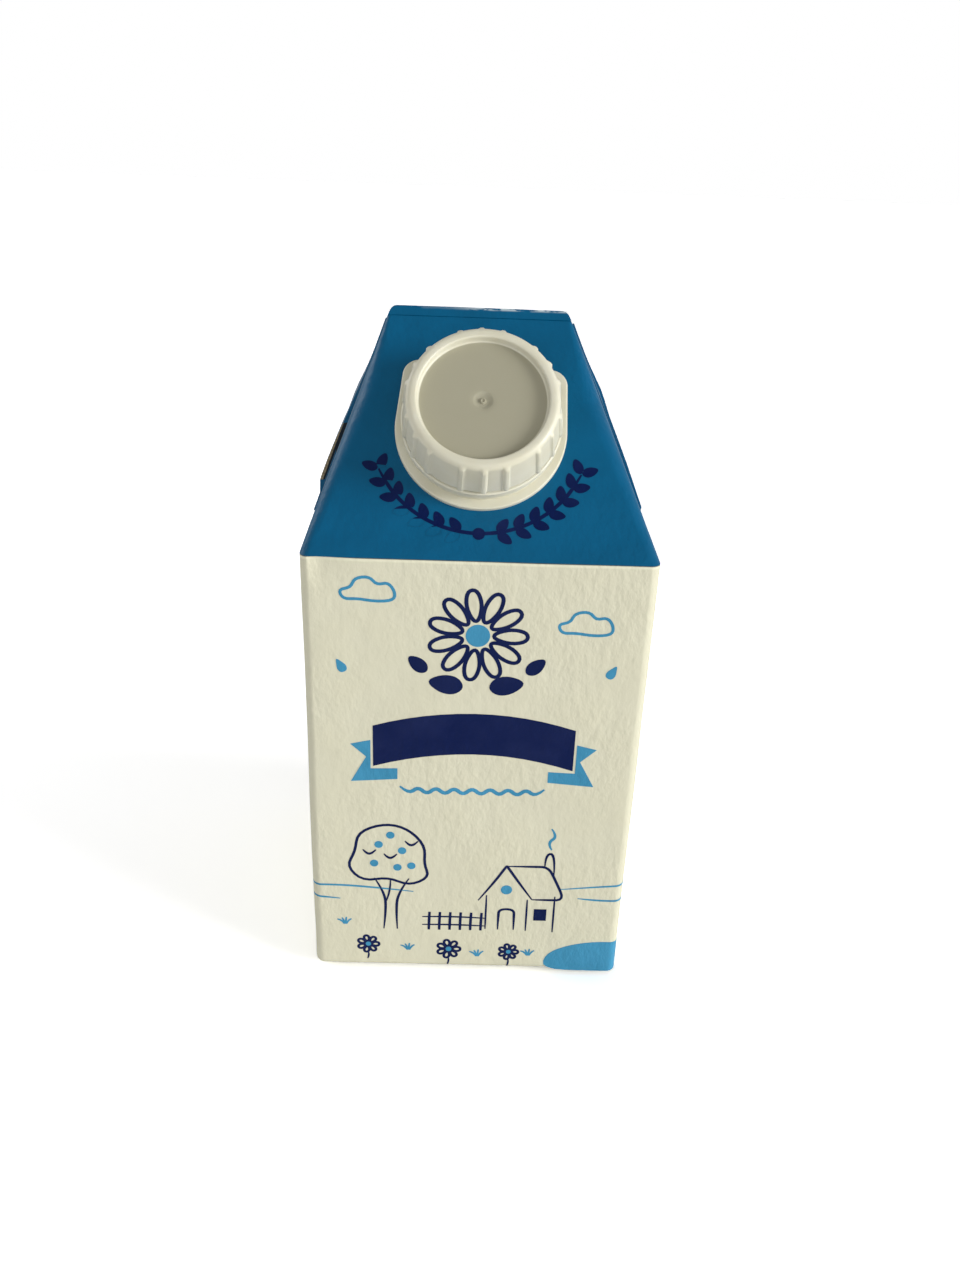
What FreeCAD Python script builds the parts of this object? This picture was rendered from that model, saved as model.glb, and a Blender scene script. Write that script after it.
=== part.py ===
import FreeCAD, Part
import math
import os

from FreeCAD import Placement, Rotation, Vector

# A half-litre gable-top cream carton, folded from one laminated board sheet, with a glued-on screw
# closure. Millimetres, +Z up, the front panel towards -Y, the pack's right side towards +X.

# The pack
pack_width = 68.0
pack_depth = 68.0
shoulder_height = 100.5
roof_angle = 49.3            # the two big roof panels, degrees above level
ridge_length = 36.5          # the top seam between the two hips
ridge_shift = -1.3           # this pack was folded a little to its left
ridge_thickness = 1.6
board = 0.45                 # one layer of the laminated board

# Rounding that the board takes at its folds
wall_edge_radius = 2.0
roof_edge_radius = 3.6       # the slanting folds are softest part of the way up the roof
roof_edge_share = 0.65
ridge_edge_radius = 0.7
base_edge_radius = 1.8

# Top seam: a strip in line with the front roof panel, folded back over the rear one
seam_strip = 2.6
seam_flap = 8.0
seam_lift = 0.3              # air under the folded flap
seam_end_radius = 1.9
seam_top_radius = 0.5
crease_depth = 0.25
crease_width = 0.6

# Ears: the folded-down ends of the top seam, one on each hip
ear_embed = 0.6              # how far an ear's solid reaches into the hip under it
ear_edge = 0.45
ear_profile = [              # share of the hip's length from the shoulder, height of the middle line
    (0.98, 0.5),
    (0.80, 0.9),
    (0.64, 1.0),
    (0.50, 0.5),
    (0.24, 0.8),
]
ear_shoulder_crown = 0.7
ear_tip_crown = 0.5
ear_least_half_width = 1.0
fin_width = 7.0
fin_share = 0.8              # near the ridge the seam keeps this far inside the narrowing hip
fin_cut_gap = 0.25           # air under the cut edge
fin_lie = {"left": -1, "right": 1}       # the seam on each ear lies forward (-1) or back (+1)

# Base: two triangular flaps folded under and glued
base_flap_gap = 1.2
base_flap_inset = 2.4

# Lengthwise overlap on the back
overlap_width = 8.0
overlap_start = 7.0          # its cut edge, from the middle of the back

# Soft dent at the front panel's upper left corner
dent_depth = 0.4
dent_height = 7.5
dent_from_side = 0.9
dent_line_from_side = 3.3
dent_end_from_side = 11.0

# Closure, placed on the front roof panel
closure_up_slope = 26.6
closure_across = -0.5
closure_turn = -3.0          # degrees about the closure's own axis

# Spout: a neck on a thicker foot, with a flange that is glued to the roof panel
neck_radius = 12.9
foot_step = 1.8              # the foot stands out this far from the neck
foot_top = 2.8               # above the roof panel
flange_rim = 1.9             # the flange shows this far round the foot
flange_head_rim = 0.1        # and this far at its straight upper edge
flange_corner = 3.4
flange_thickness = 1.0
flange_edge_radius = 0.35

# Screw cap, over the neck
cap_clearance = 0.3
skirt_wall = 1.75            # at the skirt's lower edge
skirt_draft = 0.8            # the skirt's radius shrinks by this much up to the rim
skirt_height = 8.7
cap_top_thickness = 1.3
rim_width = 2.1
recess_depth = 1.5
recess_draft = 0.6
rim_outer_round = 1.2
rim_inner_round = 0.4
rib_groups = 6
ribs_in_group = 3
rib_pitch = 17.0             # degrees between the ribs of one group
rib_foot_width = 1.3
rib_top_width = 0.7
rib_height = 0.45
rib_start = 1.0              # a rib fades in this far under the rim's top
rib_taper = 1.0
rib_end_height = 0.02
rib_embed = 0.4
gate_radius = 1.55
gate_floor_radius = 1.15
gate_depth = 0.25
gate_pip_radius = 0.3

# Tamper ring, moulded to the skirt by small bridges
ring_foot_gap = 0.3          # air between the foot and the ring
ring_height = 1.65
ring_gap = 0.35              # the slit between the ring and the skirt
ring_wall = 1.3
ring_stand = 0.35            # the ring stands out this far from the skirt
ring_edge_round = 0.3
bridge_count = 12
bridge_width = 0.9
bridge_depth = 0.65
bridge_setback = 0.625       # from the ring's outside
bridge_embed = 0.35

tolerance = 0.01             # for picking edges by their place

# Values worked out from the dimensions above; closure heights start at the roof panel
foot_radius = neck_radius + foot_step
flange_radius = foot_radius + flange_rim
ring_bottom = foot_top + ring_foot_gap
ring_top = ring_bottom + ring_height
skirt_bottom = ring_top + ring_gap
cap_bore = neck_radius + cap_clearance
cap_lower_radius = cap_bore + skirt_wall
cap_upper_radius = cap_lower_radius - skirt_draft
rim_inner_radius = cap_upper_radius - rim_width
ring_radius = cap_lower_radius + ring_stand
cap_top = skirt_bottom + skirt_height
cap_floor = cap_top - recess_depth
neck_top = cap_floor - cap_top_thickness      # the mouth seals against the cap's top
half_width = pack_width / 2
half_depth = pack_depth / 2
slope = math.radians(roof_angle)
roof_run = half_depth - ridge_thickness / 2
roof_length = roof_run / math.cos(slope)
ridge_height = shoulder_height + roof_run * math.tan(slope)
underlay = 2 * board         # two layers, as in a flap or a seam
across = Vector(1, 0, 0)
back = Vector(0, 1, 0)
upright = Vector(0, 0, 1)
up_front = Vector(0, math.cos(slope), math.sin(slope))
down_rear = Vector(0, math.cos(slope), -math.sin(slope))
out_front = Vector(0, -math.sin(slope), math.cos(slope))
out_rear = Vector(0, math.sin(slope), math.cos(slope))
front_crease = Vector(ridge_shift, -ridge_thickness / 2, ridge_height)
rear_crease = Vector(ridge_shift, ridge_thickness / 2, ridge_height)


def closed_polygon(points):
    return Part.makePolygon(list(points) + [points[0]])


def section(place, sideways, out, outline):
    """Closed wire of (sideways, outward) points, set up at a place on a panel."""
    return closed_polygon([place + sideways * a + out * b for a, b in outline])


def fold_direction(first, second):
    """Way out of the fold between two panels, as long as one unit clear of both needs."""
    middle = (first + second).normalize()
    return middle * (1 / middle.dot(first))


def rounded_rectangle(centre, length, width, radius):
    """Level closed wire of four corner arcs joined by four straight sides."""
    arcs = []
    for quarter, (x_sign, y_sign) in enumerate([(1, -1), (1, 1), (-1, 1), (-1, -1)]):
        corner = centre + Vector(x_sign * (length / 2 - radius), y_sign * (width / 2 - radius), 0)
        angles = [math.radians(90 * quarter + step) for step in (-90, -45, 0)]
        arcs.append([corner + Vector(math.cos(a), math.sin(a), 0) * radius for a in angles])
    edges = []
    for place, arc in enumerate(arcs):
        edges.append(Part.Arc(*arc).toShape())
        edges.append(Part.LineSegment(arc[2], arcs[(place + 1) % 4][0]).toShape())
    return Part.Wire(edges)


def make_filled_body():
    """The square body and its hipped roof, rounded along every upright and slanting fold."""
    floor = rounded_rectangle(upright * underlay, pack_width, pack_depth, wall_edge_radius)
    shoulder = rounded_rectangle(upright * shoulder_height, pack_width, pack_depth, wall_edge_radius)
    ridge_middle = Vector(ridge_shift, 0, ridge_height)
    ridge = rounded_rectangle(ridge_middle, ridge_length, ridge_thickness, ridge_edge_radius)
    soft_middle = upright * shoulder_height + (ridge_middle - upright * shoulder_height) * roof_edge_share
    soft_length = pack_width + (ridge_length - pack_width) * roof_edge_share
    soft_width = pack_depth + (ridge_thickness - pack_depth) * roof_edge_share
    soft = rounded_rectangle(soft_middle, soft_length, soft_width, roof_edge_radius)
    body = Part.makeLoft([floor, shoulder, soft, ridge], True, True)
    base_edges = [edge for edge in body.Edges if edge.BoundBox.ZMax < underlay + tolerance]
    return body.makeFillet(base_edge_radius, base_edges)


def make_top_seam():
    """The ridge seam: a strip above the front crease, then a flap laid on the rear panel."""
    lift = underlay + seam_lift
    left = across * (-ridge_length / 2)
    fold = front_crease + up_front * seam_strip
    turn = rear_crease + out_rear * lift
    end = turn + down_rear * seam_flap
    landing = end - out_rear * (lift + ear_embed)
    root = front_crease - upright * ear_embed
    profile = [front_crease, fold, turn, end, landing, root]
    seam = Part.Face(closed_polygon([point + left for point in profile])).extrude(across * ridge_length)
    folds = [edge for edge in seam.Edges if edge.BoundBox.ZMin > fold.z - tolerance]
    seam = seam.makeFillet(seam_top_radius, folds)
    blank_bottom = Vector(ridge_shift - ridge_length / 2, -half_depth, shoulder_height)
    blank = Part.makeBox(ridge_length, pack_depth, fold.z - shoulder_height, blank_bottom)
    top_edges = [edge for edge in blank.Edges if edge.BoundBox.ZMin > fold.z - tolerance]
    ends = [edge for edge in top_edges if edge.BoundBox.XLength < tolerance]
    return seam.common(blank.makeFillet(seam_end_radius, ends))


def hip(side):
    """Foot, direction, length and outward direction of the hip on one side (-1 left, +1 right)."""
    foot = Vector(side * half_width, 0, shoulder_height)
    head = Vector(ridge_shift + side * ridge_length / 2, 0, ridge_height)
    length = (head - foot).Length
    up_hip = (head - foot).normalize()
    return foot, up_hip, length, Vector(side * up_hip.z, 0, -side * up_hip.x)


def ear_stations(side):
    """Places down the middle of an ear: point, outward direction, half widths of pleat and panel, height."""
    foot, up_hip, length, out = hip(side)
    seam_on_ear = half_width + half_depth - (ridge_length / 2 + side * ridge_shift)
    tip_drop = seam_on_ear - length
    tip_half_width = tip_drop * roof_length / half_depth
    stations = []
    for share, crown in ear_profile:
        half = max(tip_half_width * (1 - share), ear_least_half_width)
        panel_half = max(half_depth * (1 - share), ear_least_half_width)
        stations.append((foot + up_hip * (share * length), out, half, panel_half, crown))
    wall_out = across * side
    stations.append((foot, fold_direction(out, wall_out), tip_half_width, half_depth, ear_shoulder_crown))
    tip = foot - upright * tip_drop
    stations.append((tip, wall_out, ear_least_half_width, half_depth, ear_tip_crown))
    return stations


def make_ear(side):
    """The pleated middle of a folded-down ear, highest along its seam, with its tip on the side wall."""
    wires = []
    for place, out, half, panel_half, crown in ear_stations(side):
        outline = [(-half, -ear_embed), (-half, ear_edge), (0, crown), (half, ear_edge), (half, -ear_embed)]
        wires.append(section(place, back, out, outline))
    return Part.makeLoft(wires, True, True)


def make_ear_seam(side, lie):
    """The seam that runs down the ear, laid over to one side."""
    wires = []
    for place, out, half, panel_half, crown in ear_stations(side):
        width = min(fin_width, fin_share * panel_half)
        under = crown + (ear_edge - crown) * width / half if width < half else 0
        root = (0, -ear_embed)
        fold = (0, crown + underlay)
        cut_top = (width, under + fin_cut_gap + underlay)
        cut_foot = (width, under - ear_embed)
        wires.append(section(place, back * lie, out, [root, fold, cut_top, cut_foot]))
    return Part.makeLoft(wires, True, True)


def make_overlap():
    """The lengthwise lap of the sheet: a step at its cut edge that runs out to nothing."""
    outline = [(0, -ear_embed), (0, board), (overlap_width, 0), (overlap_width, -ear_embed)]
    start = across * overlap_start + back * half_depth
    stations = [
        (start + upright * (underlay + base_edge_radius), back),
        (start + upright * shoulder_height, fold_direction(back, out_rear)),
        (start + upright * shoulder_height - down_rear * (roof_length - seam_flap), out_rear),
    ]
    return Part.makeLoft([section(place, across, out, outline) for place, out in stations], True, True)


def make_base_flap(side):
    """One triangular flap folded under the base, from its side edge to the middle."""
    root_half = half_depth - wall_edge_radius
    root = side * (half_width - base_flap_inset)
    tip = side * base_flap_gap / 2
    corners = [Vector(root, -root_half, 0), Vector(root, root_half, 0), Vector(tip, 0, 0)]
    return Part.Face(closed_polygon(corners)).extrude(upright * (underlay + ear_embed))


def make_crease():
    """The pressed line under the top seam."""
    start = front_crease - across * (ridge_length / 2)
    outline = [(-crease_width / 2, ear_embed), (0, -crease_depth), (crease_width / 2, ear_embed)]
    return Part.Face(section(start, up_front, out_front, outline)).extrude(across * ridge_length)


def make_dent():
    """A shallow hollow beside the front panel's upper left corner, running out downwards."""
    start = Vector(-half_width, -half_depth, shoulder_height)
    outline = [
        (dent_from_side, 0),
        (dent_line_from_side, -dent_depth),
        (dent_end_from_side, 0),
        (dent_line_from_side, dent_depth),
    ]
    wide = section(start, across, -back, outline)
    low = Part.Vertex(start + across * dent_line_from_side - upright * dent_height)
    return Part.makeLoft([wide, low], True, True)


def make_carton():
    carton = make_filled_body()
    additions = [make_top_seam(), make_overlap()]
    for side, name in ((-1, "left"), (1, "right")):
        additions += [make_ear(side), make_ear_seam(side, fin_lie[name]), make_base_flap(side)]
    carton = carton.fuse(additions)
    return carton.cut([make_crease(), make_dent()])


def make_spout():
    """A D-shaped flange with a round foot and the neck that the cap turns on."""
    round_half = Part.makeCylinder(flange_radius, flange_thickness, Vector(0, 0, 0), upright, 180)
    round_half.rotate(Vector(0, 0, 0), upright, 180)
    head_corner = Vector(-flange_radius, 0, 0)
    head = Part.makeBox(2 * flange_radius, foot_radius + flange_head_rim, flange_thickness, head_corner)
    sides = [edge for edge in head.Edges if edge.BoundBox.ZLength > tolerance]
    corners = [edge for edge in sides if edge.BoundBox.YMin > tolerance]
    flange = round_half.fuse(head.makeFillet(flange_corner, corners)).removeSplitter()
    top_edges = [edge for edge in flange.Edges if edge.BoundBox.ZMin > flange_thickness - tolerance]
    flange = flange.makeFillet(flange_edge_radius, top_edges)
    foot = Part.makeCylinder(foot_radius, foot_top)
    neck = Part.makeCylinder(neck_radius, neck_top)
    return flange.fuse([foot, neck]).removeSplitter()


def skirt_radius(height):
    """Outside of the plain skirt at a height above the roof panel."""
    share = (height - skirt_bottom) / (cap_top - skirt_bottom)
    return cap_lower_radius + (cap_upper_radius - cap_lower_radius) * share


def revolved(outline):
    """Full turn of an (outward, upward) outline about the closure's axis."""
    face = Part.Face(closed_polygon([Vector(radius, 0, height) for radius, height in outline]))
    return face.revolve(Vector(0, 0, 0), upright, 360)


def circle_edges(solid, radius, height):
    """The round edges of a solid that have this radius at this height."""
    found = []
    for edge in solid.Edges:
        round_edge = isinstance(edge.Curve, Part.Circle)
        if round_edge and math.dist((edge.Curve.Radius, edge.BoundBox.ZMin), (radius, height)) < tolerance:
            found.append(edge)
    return found


def make_cap_shell():
    """Skirt, rounded rim and sunk top, hollow below to sit over the neck."""
    shell = revolved([
        (cap_bore, skirt_bottom),
        (cap_lower_radius, skirt_bottom),
        (cap_upper_radius, cap_top),
        (rim_inner_radius, cap_top),
        (rim_inner_radius - recess_draft, cap_floor),
        (0, cap_floor),
        (0, cap_floor - cap_top_thickness),
        (cap_bore, cap_floor - cap_top_thickness),
    ])
    shell = shell.makeFillet(rim_outer_round, circle_edges(shell, cap_upper_radius, cap_top))
    return shell.makeFillet(rim_inner_round, circle_edges(shell, rim_inner_radius, cap_top))


def make_rib(angle):
    """One gripping rib up the skirt, fading out towards the rim."""
    half_foot = rib_foot_width / 2
    half_top = rib_top_width / 2
    wires = []
    full = cap_top - rib_start - rib_taper
    ends = [(skirt_bottom, rib_height), (full, rib_height), (full + rib_taper, rib_end_height)]
    for height, stand in ends:
        outline = [(-half_foot, -rib_embed), (-half_foot, 0), (-half_top, stand),
                   (half_top, stand), (half_foot, 0), (half_foot, -rib_embed)]
        place = Vector(0, -skirt_radius(height), height)
        wires.append(section(place, across, -back, outline))
    rib = Part.makeLoft(wires, True, True)
    return rib.rotate(Vector(0, 0, 0), upright, angle)


def make_gate_mark():
    """The shallow round mark in the middle of the cap's top, with its pip left standing."""
    bottom = upright * (cap_floor - gate_depth)
    dish = Part.makeCone(gate_floor_radius, gate_radius, gate_depth, bottom)
    return dish.cut(Part.makeCylinder(gate_pip_radius, gate_depth, bottom))


def make_tamper_ring():
    ring = revolved([
        (ring_radius - ring_wall, ring_bottom),
        (ring_radius, ring_bottom),
        (ring_radius, ring_top),
        (ring_radius - ring_wall, ring_top),
    ])
    return ring.makeFillet(ring_edge_round, circle_edges(ring, ring_radius, ring_top))


def make_bridge(angle):
    """A small web across the slit between the skirt and the tamper ring."""
    start = Vector(-bridge_width / 2, bridge_setback - ring_radius, ring_top - bridge_embed)
    bridge = Part.makeBox(bridge_width, bridge_depth, ring_gap + 2 * bridge_embed, start)
    return bridge.rotate(Vector(0, 0, 0), upright, angle)


def make_cap():
    additions = [make_tamper_ring()]
    for group in range(rib_groups):
        for place in range(ribs_in_group):
            from_middle = place - (ribs_in_group - 1) / 2
            additions.append(make_rib(group * 360 / rib_groups + from_middle * rib_pitch))
    for bridge in range(bridge_count):
        additions.append(make_bridge((bridge + 0.5) * 360 / bridge_count))
    return make_cap_shell().fuse(additions).cut(make_gate_mark())


def on_roof(shape):
    """Stand a shape, made about its own axis, on the front roof panel."""
    foot = Vector(closure_across, -half_depth, shoulder_height) + up_front * closure_up_slope
    turn = Rotation(across, roof_angle).multiply(Rotation(upright, closure_turn))
    shape.Placement = Placement(foot, turn).multiply(shape.Placement)
    return shape


nodes = {
    "carton": make_carton(),
    "pour_spout": on_roof(make_spout()),
    "screw_cap": on_roof(make_cap()),
}
whole = Part.makeCompound(list(nodes.values())).BoundBox
to_origin = Vector(-whole.Center.x, -whole.Center.y, -whole.ZMin)

os.makedirs("parts", exist_ok=True)
for name, shape in nodes.items():
    solid = shape.copy()
    solid.translate(to_origin)
    solid.exportStep("parts/" + name + ".step")
    print(name, "solids", len(solid.Solids), "valid", solid.isValid(), "volume", round(solid.Volume, 1))
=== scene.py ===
import math

import bmesh
import bpy
from bpy.props import FloatProperty, FloatVectorProperty, PointerProperty
from mathutils import Matrix, Vector, noise


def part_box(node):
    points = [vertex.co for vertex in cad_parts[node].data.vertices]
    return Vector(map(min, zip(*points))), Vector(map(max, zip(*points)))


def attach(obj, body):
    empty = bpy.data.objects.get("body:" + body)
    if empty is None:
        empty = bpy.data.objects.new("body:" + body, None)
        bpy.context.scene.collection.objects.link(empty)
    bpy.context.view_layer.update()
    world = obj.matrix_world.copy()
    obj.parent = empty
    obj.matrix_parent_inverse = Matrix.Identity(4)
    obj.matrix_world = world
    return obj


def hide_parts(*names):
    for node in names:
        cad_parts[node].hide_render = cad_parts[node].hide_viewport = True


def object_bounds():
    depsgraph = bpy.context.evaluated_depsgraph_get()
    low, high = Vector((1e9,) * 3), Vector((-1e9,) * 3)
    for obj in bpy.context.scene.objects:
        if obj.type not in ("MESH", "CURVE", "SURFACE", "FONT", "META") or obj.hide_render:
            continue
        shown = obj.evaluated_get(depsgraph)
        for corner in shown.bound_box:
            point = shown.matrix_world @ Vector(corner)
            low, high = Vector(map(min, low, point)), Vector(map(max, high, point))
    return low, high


bl_info = {
    "name": "Cream Carton",
    "version": (1, 0, 0),
    "blender": (4, 5, 0),
    "location": "View3D > Sidebar > Carton",
    "description": "Printed board, moulded screw closure and meadow print of a gable-top cream carton",
    "category": "Object",
}

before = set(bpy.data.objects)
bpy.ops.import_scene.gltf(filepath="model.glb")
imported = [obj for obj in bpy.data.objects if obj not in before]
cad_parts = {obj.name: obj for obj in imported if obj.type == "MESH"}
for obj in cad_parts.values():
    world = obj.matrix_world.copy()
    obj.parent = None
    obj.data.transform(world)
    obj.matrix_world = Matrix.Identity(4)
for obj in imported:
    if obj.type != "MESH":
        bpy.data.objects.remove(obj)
CAD_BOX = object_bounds()
CARTON_LOW, CARTON_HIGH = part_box("carton")

MM = 0.001

# The pack, as the frame has it: +Z up, the front panel towards -Y
MIDDLE_X = (CARTON_LOW.x + CARTON_HIGH.x) / 2
FRONT_Y = CARTON_LOW.y
WIDTH = 68 * MM
MIDDLE_Y = FRONT_Y + WIDTH / 2
SHOULDER = 100.5 * MM
ROOF_ANGLE = math.radians(49.3)
RIDGE_THICKNESS = 1.6 * MM
RIDGE_HALF = 18.25 * MM
RIDGE_SHIFT = -1.3 * MM  # the ridge's middle from the pack's
RIDGE_CORNER = 2.1 * MM  # rounding of the top seam's two upper corners
SEAM_FLAP = 8 * MM
EDGE_RADIUS = 2.0 * MM
EAR_SEAM_WIDTH = 7 * MM
EAR_SEAM_SHARE = 0.8  # of the narrowing hip's half, where the seam can't have its full width
BARE_CUT = (0.17, 0.46)  # part of the left hip's length where the ear gapes and its cut edge is bare
LEFT_KEPT, RIGHT_KEPT = 0.3, 0.6  # of an ear's height in the frame, once it is pressed flatter
GAPE_KEPT = 0.55  # added to the left ear where it gapes
RIDGE_PRESS = 0.6  # part of that height which both ears lose towards the ridge
LAP_START = 7 * MM  # cut edge of the lengthwise lap, from the middle of the back
DENT_FROM, DENT_LINE, DENT_END = 0.9 * MM, 3.3 * MM, 11 * MM  # its start, fold and end, from the left
DENT_DROP = 8 * MM  # from the shoulder down
DENT_DEPTH = 0.3 * MM
SCUFF_REACH = 0.55 * MM  # down from the ridge's top, where the blue starts to be rubbed off
SCUFF_FULL = 0.12 * MM
INK_HALF = 0.02 * MM  # half the thickness of the ink's film
ROOF_RUN = (WIDTH - RIDGE_THICKNESS) / 2
RIDGE_HEIGHT = SHOULDER + ROOF_RUN * math.tan(ROOF_ANGLE)
UP_ROOF = Vector((0, math.cos(ROOF_ANGLE), math.sin(ROOF_ANGLE)))
OUT_ROOF = Vector((0, -math.sin(ROOF_ANGLE), math.cos(ROOF_ANGLE)))

# The closure's own frame: its foot on the roof panel, its axis square to the panel
CLOSURE_UP = 26.6 * MM
CLOSURE_ACROSS = -0.5 * MM
CLOSURE_TURN = math.radians(-3)
CLOSURE_FOOT = Vector((MIDDLE_X + CLOSURE_ACROSS, FRONT_Y, SHOULDER)) + UP_ROOF * CLOSURE_UP
CLOSURE = (
    Matrix.Translation(CLOSURE_FOOT)
    @ Matrix.Rotation(ROOF_ANGLE, 4, "X")
    @ Matrix.Rotation(CLOSURE_TURN, 4, "Z")
)


def paint(red, green, blue):
    """Scene colour of a display colour given in steps of 0 to 255."""
    steps = (red / 255, green / 255, blue / 255)
    return tuple(s / 12.92 if s <= 0.04045 else ((s + 0.055) / 1.055) ** 2.4 for s in steps)


# ---- settings

class BoardSettings(bpy.types.PropertyGroup):
    cream: FloatVectorProperty(
        name="Cream", description="Colour of the walls", subtype="COLOR", default=paint(216, 213, 189)
    )
    blue: FloatVectorProperty(
        name="Blue", description="Colour of the roof", subtype="COLOR", default=paint(0, 90, 130)
    )
    raw_edge: FloatVectorProperty(
        name="Raw edge", description="Colour of cut board", subtype="COLOR", default=paint(165, 148, 118)
    )
    pucker: FloatProperty(
        name="Pucker", description="Height of the soft waves in the panels", subtype="DISTANCE",
        unit="LENGTH", default=0.16 * MM, min=0, precision=5
    )
    wrinkle: FloatProperty(
        name="Wrinkle", description="Height of the fine wrinkles in the laminate", subtype="DISTANCE",
        unit="LENGTH", default=0.22 * MM, min=0, precision=5
    )
    grid: FloatProperty(
        name="Grid", description="Spacing of the panels' mesh", subtype="DISTANCE",
        unit="LENGTH", default=2.4 * MM, min=1 * MM, precision=4
    )


class PrintSettings(bpy.types.PropertyGroup):
    navy: FloatVectorProperty(
        name="Navy", description="Dark ink", subtype="COLOR", default=paint(0, 20, 70)
    )
    sky: FloatVectorProperty(
        name="Sky", description="Light ink", subtype="COLOR", default=paint(62, 138, 174)
    )
    pen: FloatProperty(
        name="Pen", description="Width of the drawn lines", subtype="DISTANCE",
        unit="LENGTH", default=0.62 * MM, min=0.1 * MM, precision=5
    )
    lift: FloatProperty(
        name="Lift", description="How far the ink stands proud of the board", subtype="DISTANCE",
        unit="LENGTH", default=0.03 * MM, min=0, precision=5
    )


class ClosureSettings(bpy.types.PropertyGroup):
    plastic: FloatVectorProperty(
        name="Plastic", description="Colour of the closure", subtype="COLOR", default=paint(220, 217, 198)
    )
    # Painted shade: a greyer colour for the cap's sunk floor.
    sunk_floor_shade: FloatVectorProperty(
        name="Sunk floor shade", description="Colour of the cap's thin sunk floor", subtype="COLOR",
        default=paint(168, 164, 142)
    )
    rib_height: FloatProperty(
        name="Rib height", description="How far a gripping rib stands out", subtype="DISTANCE",
        unit="LENGTH", default=0.45 * MM, min=0, precision=5
    )


class StageSettings(bpy.types.PropertyGroup):
    key: FloatProperty(name="Key", description="Strength of the light from the right", default=2.9, min=0)
    front: FloatProperty(name="Front", description="Strength of the soft front light", default=0.95, min=0)
    rim: FloatProperty(name="Rim", description="Power of the lamp behind the left", default=0.8, min=0)
    fill: FloatProperty(name="Fill", description="Strength of the light all round", default=0.55, min=0)


# ---- nodes

def add_node(tree, kind, **settings):
    """A new node with its plain settings."""
    made = tree.nodes.new(kind)
    for name, value in settings.items():
        setattr(made, name, value)
    return made


def wire(tree, value, socket):
    """Joins an output to an input, or sets a plain value on it."""
    if isinstance(value, bpy.types.NodeSocket):
        tree.links.new(value, socket)
    else:
        socket.default_value = value


def preset(node, values):
    """Sets plain values on a node's inputs."""
    for name, value in values.items():
        node.inputs[name].default_value = value


def maths(tree, operation, *values):
    """One step of arithmetic on outputs or plain values."""
    made = add_node(tree, "ShaderNodeMath", operation=operation)
    for place, value in enumerate(values):
        wire(tree, value, made.inputs[place])
    return made.outputs[0]


def mix_colour(tree, factor, first, second):
    """The first colour at a factor of 0, the second at 1."""
    made = add_node(tree, "ShaderNodeMix", data_type="RGBA", clamp_factor=True)
    wire(tree, factor, made.inputs["Factor"])
    wire(tree, first, made.inputs[6])
    wire(tree, second, made.inputs[7])
    return made.outputs[2]


def ramp(tree, value, low, high, out_low=0.0, out_high=1.0):
    """Smooth step of a value from one level to another."""
    made = add_node(tree, "ShaderNodeMapRange", clamp=True, interpolation_type="SMOOTHSTEP")
    for socket, given in zip(made.inputs, (value, low, high, out_low, out_high)):
        wire(tree, given, socket)
    return made.outputs[0]


def cloud(tree, vector, scale, detail=2.0, stretch=None, turn=0.0):
    """Noise on a vector, its features drawn out along an axis where stretch says so."""
    if stretch:
        mapping = add_node(tree, "ShaderNodeMapping")
        preset(mapping, {"Scale": stretch, "Rotation": (turn, turn, 0)})
        tree.links.new(vector, mapping.inputs["Vector"])
        vector = mapping.outputs[0]
    made = add_node(tree, "ShaderNodeTexNoise")
    tree.links.new(vector, made.inputs["Vector"])
    preset(made, {"Scale": scale, "Detail": detail})
    return made.outputs["Fac"]


def split(tree, vector):
    """The X, Y and Z of a vector."""
    made = add_node(tree, "ShaderNodeSeparateXYZ")
    tree.links.new(vector, made.inputs[0])
    return made.outputs


def put_bump(tree, shader, height, depth):
    """Raises and sinks a shader's surface by a height of 0 to 1 at a depth."""
    bump = add_node(tree, "ShaderNodeBump")
    preset(bump, {"Strength": 1.0, "Distance": depth})
    tree.links.new(height, bump.inputs["Height"])
    tree.links.new(bump.outputs[0], shader.inputs["Normal"])


def group_tree(name, inputs, outputs):
    """A shader group with typed sockets; returns its tree, its input node and its output node."""
    tree = bpy.data.node_groups.new(name, "ShaderNodeTree")
    for label, kind in inputs:
        tree.interface.new_socket(label, in_out="INPUT", socket_type=kind)
    for label, kind in outputs:
        tree.interface.new_socket(label, in_out="OUTPUT", socket_type=kind)
    return tree, add_node(tree, "NodeGroupInput"), add_node(tree, "NodeGroupOutput")


def board_relief_group():
    """Height of laminated board: hammered wrinkles that run upwards, fine creasing, broad puckers."""
    tree, given, result = group_tree(
        "Board relief",
        [("Vector", "NodeSocketVector"), ("Wrinkles", "NodeSocketFloat"), ("Puckers", "NodeSocketFloat")],
        [("Height", "NodeSocketFloat"), ("Mottle", "NodeSocketFloat")],
    )
    vector = given.outputs["Vector"]
    hammered = cloud(tree, vector, 560, 3.0, stretch=(1, 1, 0.55), turn=0.05)
    diagonal = cloud(tree, vector, 1100, 3.0, stretch=(1, 1, 0.7), turn=-0.5)
    broad = cloud(tree, vector, 95, 2.0)
    patches = cloud(tree, vector, 38, 1.0)
    calm = ramp(tree, patches, 0.32, 0.62, 0.45, 1.0)
    fine = maths(tree, "ADD", hammered, maths(tree, "MULTIPLY", diagonal, 0.5))
    fine = maths(tree, "MULTIPLY", maths(tree, "MULTIPLY", fine, calm), given.outputs["Wrinkles"])
    wide = maths(tree, "MULTIPLY", broad, given.outputs["Puckers"])
    tree.links.new(maths(tree, "ADD", fine, wide), result.inputs["Height"])
    tree.links.new(broad, result.inputs["Mottle"])
    return tree


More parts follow.
